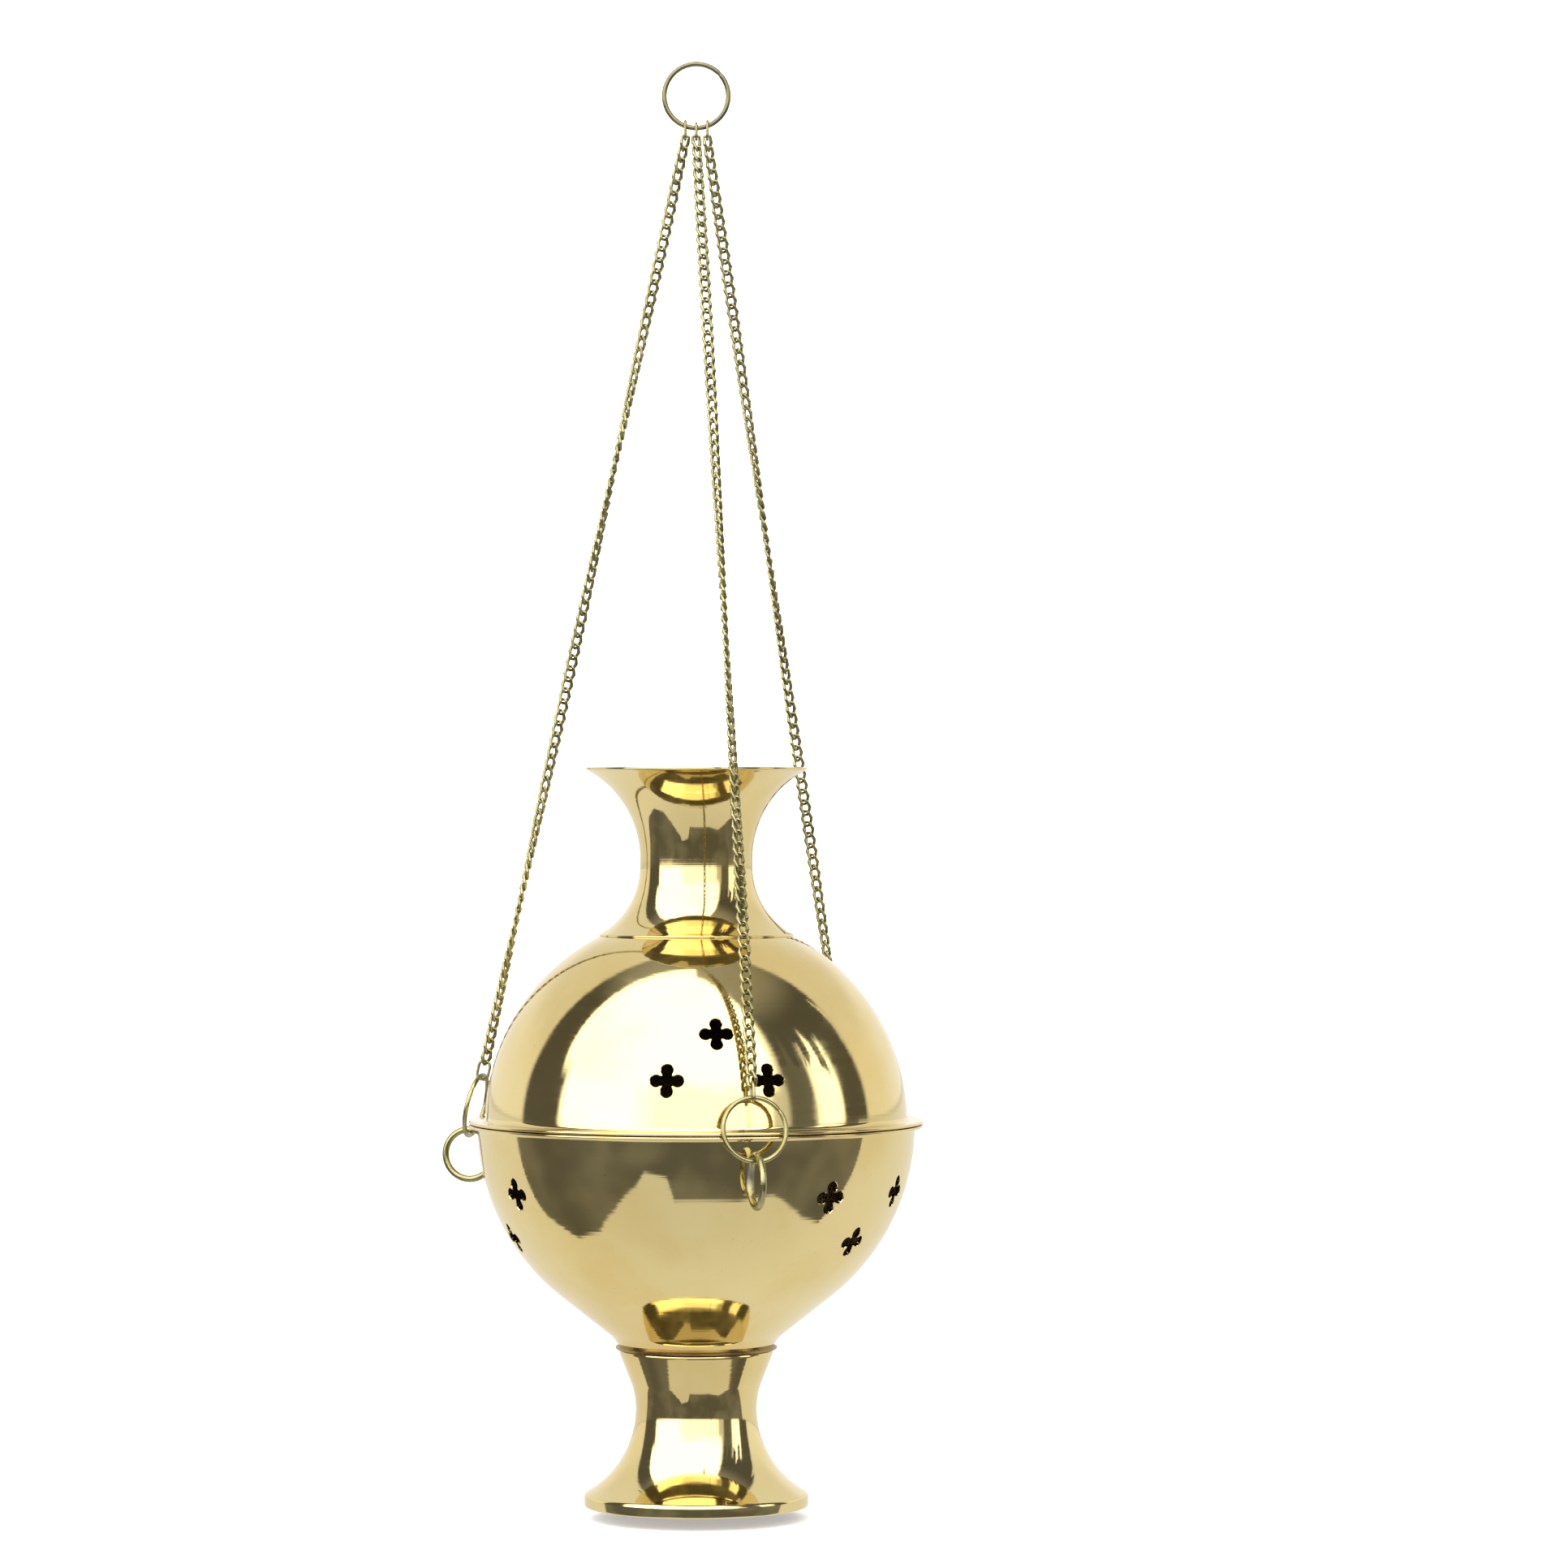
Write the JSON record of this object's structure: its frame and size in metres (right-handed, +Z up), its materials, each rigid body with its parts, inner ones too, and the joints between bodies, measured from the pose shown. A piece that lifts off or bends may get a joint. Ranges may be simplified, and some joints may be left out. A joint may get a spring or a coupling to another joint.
{
  "type": "thurible censer",
  "caption": "Hanging brass incense burner: pierced bowl on a trumpet foot, pierced domed lid with a flared chimney, curb chains, rings and a loose fire pan.",
  "frame": {"origin": "inner top of the top ring, where a hook bears", "axes": "+Z up along the hanging line, -Y the front with the crosses, +X to the right seen from the front"},
  "size_m": [0.1494, 0.149, 0.4446],
  "materials": {
    "polished_brass": "polished",
    "wire_brass": "polished",
    "inner_brass": "satin",
    "bolt_steel": "plated"
  },
  "bodies": {
    "top_ring": {"top_ring": "wire_brass"},
    "top_links": {"top_links": "wire_brass"},
    "swing": {"second_links": "wire_brass"},
    "chain_left": {"chain_left": "wire_brass", "end_link_left": "wire_brass"},
    "chain_front": {"chain_front": "wire_brass", "end_link_front": "wire_brass"},
    "chain_right": {"chain_right": "wire_brass", "end_link_right": "wire_brass"},
    "vessel": {"bowl": "polished_brass", "foot": "polished_brass", "lug_left": "wire_brass", "lug_front": "wire_brass", "lug_right": "wire_brass", "foot_bolt": "bolt_steel", "foot_washer": "bolt_steel", "foot_nut": "bolt_steel"},
    "ring_left": {"ring_left": "wire_brass"},
    "ring_front": {"ring_front": "wire_brass"},
    "ring_right": {"ring_right": "wire_brass"},
    "lid": {"lid_dome": "polished_brass", "funnel": "polished_brass"},
    "fire_pan": {"fire_pan": "inner_brass"}
  },
  "joints": [
    {"name": "swing_sideways", "type": "hinge", "parent": "top_ring", "child": "top_links", "pos_m": [0, 0, -0.00905], "axis": [0, 1, 0], "range_deg": [-30, 30]},
    {"name": "swing_fore_aft", "type": "hinge", "parent": "top_links", "child": "swing", "pos_m": [0, 0, -0.02112], "axis": [1, 0, 0], "range_deg": [-30, 30]},
    {"name": "vessel_raise", "type": "slide", "parent": "swing", "child": "vessel", "axis": [0, 0, 1], "range_m": [0, 0.0072]},
    {"name": "lid_lift", "type": "slide", "parent": "vessel", "child": "lid", "axis": [0, 0, 1], "range_m": [0, 0.04]},
    {"name": "pan_lift", "type": "slide", "parent": "vessel", "child": "fire_pan", "axis": [0, 0, 1], "range_m": [0, 0.06]},
    {"name": "chain_left_spread", "type": "hinge", "parent": "swing", "child": "chain_left", "pos_m": [-0.00414, 0.00027, -0.0259], "axis": [0.2523, 0.9677, 0], "range_deg": [0, 3.22]},
    {"name": "ring_left_lean", "type": "hinge", "parent": "vessel", "child": "ring_left", "pos_m": [-0.07083, 0.01766, -0.3302], "axis": [-0.2523, -0.9677, 0], "range_deg": [0, 48.14]},
    {"name": "chain_front_spread", "type": "hinge", "parent": "swing", "child": "chain_front", "pos_m": [0.00021, -0.00108, -0.02589], "axis": [-0.9656, -0.2599, 0], "range_deg": [0, 3.19]},
    {"name": "ring_front_lean", "type": "hinge", "parent": "vessel", "child": "ring_front", "pos_m": [0.01889, -0.07051, -0.3327], "axis": [0.9656, 0.2599, 0], "range_deg": [0, 48.11]},
    {"name": "chain_right_spread", "type": "hinge", "parent": "swing", "child": "chain_right", "pos_m": [0.0039, 0.00084, -0.0259], "axis": [0.7651, -0.6439, 0], "range_deg": [0, 3.21]},
    {"name": "ring_right_lean", "type": "hinge", "parent": "vessel", "child": "ring_right", "pos_m": [0.04885, 0.05425, -0.3312], "axis": [-0.7651, 0.6439, 0], "range_deg": [0, 48.13]}
  ],
  "couplings": [
    {"joint": "vessel_raise", "follows": "lid_lift", "ratio": 0.175},
    {"joint": "chain_left_spread", "follows": "lid_lift", "rad_per_m": 1.3953},
    {"joint": "ring_left_lean", "follows": "lid_lift", "rad_per_m": 20.985},
    {"joint": "chain_front_spread", "follows": "lid_lift", "rad_per_m": 1.3842},
    {"joint": "ring_front_lean", "follows": "lid_lift", "rad_per_m": 20.968},
    {"joint": "chain_right_spread", "follows": "lid_lift", "rad_per_m": 1.3907},
    {"joint": "ring_right_lean", "follows": "lid_lift", "rad_per_m": 20.981}
  ]
}
